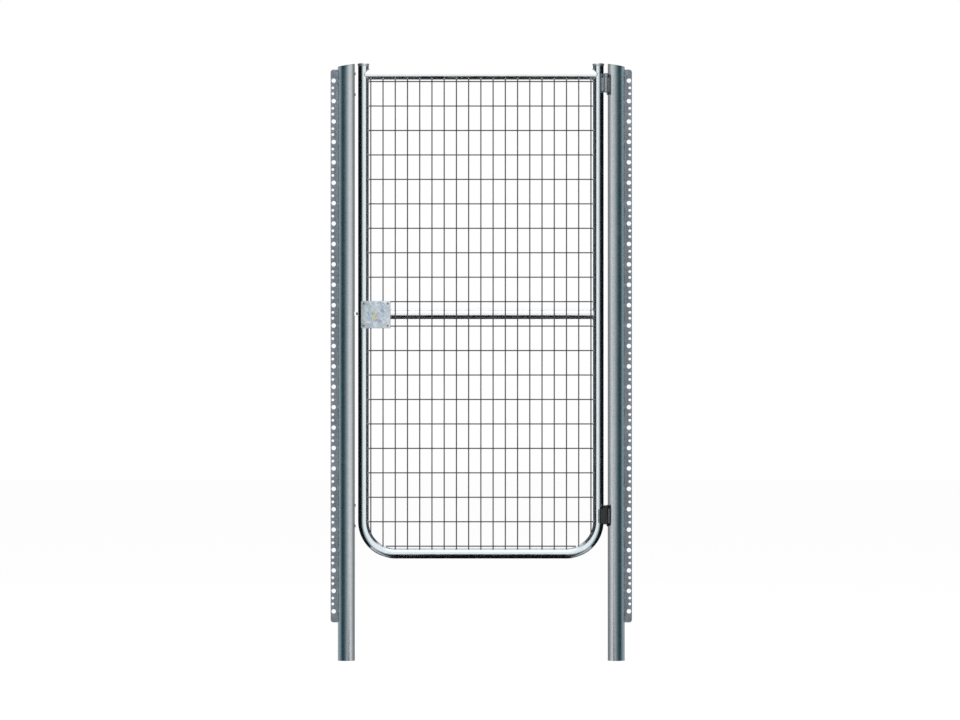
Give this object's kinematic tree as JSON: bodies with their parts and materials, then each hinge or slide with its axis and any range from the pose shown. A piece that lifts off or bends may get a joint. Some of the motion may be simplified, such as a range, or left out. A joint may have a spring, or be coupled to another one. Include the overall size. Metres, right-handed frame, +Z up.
{
  "type": "welded mesh gate",
  "caption": "Single leaf garden gate of bent round tube with a welded wire mesh panel, lock and hinges, hung between two round posts with punched fence strips.",
  "frame": {"origin": "centre of the hinge post's lower end face", "axes": "+X from the leaf towards the hinge post's fence side, +Y towards the back of the leaf, +Z up"},
  "size_m": [1.233, 0.07, 2.4433],
  "materials": {
    "galvanised_tube": "hot-dip galvanised, smooth and fairly bright",
    "galvanised_strip": "hot-dip galvanised, dull",
    "galvanised_fitting": "hot-dip galvanised, pale",
    "galvanised_wire": "hot-dip galvanised, dull grey",
    "zinc_sheet": "zinc coated sheet with a crystal pattern",
    "black_fitting": "black, satin",
    "brass": "plain brass, slightly dulled",
    "bright_steel": "bright zinc plated steel"
  },
  "bodies": {
    "posts": {"hinge_post": "galvanised_tube", "post_caps": "galvanised_tube", "hinge_post_fence_strip": "galvanised_strip", "lock_post": "galvanised_tube", "lock_post_fence_strip": "galvanised_strip", "lock_post_spare_screws": "galvanised_fitting", "upper_hinge_bracket": "galvanised_fitting", "hinge_pins": "galvanised_fitting", "lower_hinge_bracket": "black_fitting"},
    "leaf": {"upper_hinge_eye": "galvanised_fitting", "lower_hinge_eye": "black_fitting", "leaf_frame_tube": "galvanised_tube", "top_rail": "galvanised_tube", "middle_rail": "galvanised_tube", "upright_caps": "galvanised_fitting", "mesh_panel": "galvanised_wire", "lock_case": "zinc_sheet", "lock_front_plate": "zinc_sheet", "lock_back_plate": "zinc_sheet", "lock_cylinder": "brass"},
    "bolt": {"lock_bolt": "bright_steel"}
  },
  "joints": [
    {"name": "leaf_hinge", "type": "hinge", "parent": "posts", "child": "leaf", "pos_m": [-0.0432, -0.025, 1.4315], "axis": [0, 0, 1], "range_deg": [0, 100]},
    {"name": "bolt_slide", "type": "slide", "parent": "leaf", "child": "bolt", "axis": [-1, 0, 0], "range_m": [-0.008, 0.018]}
  ]
}
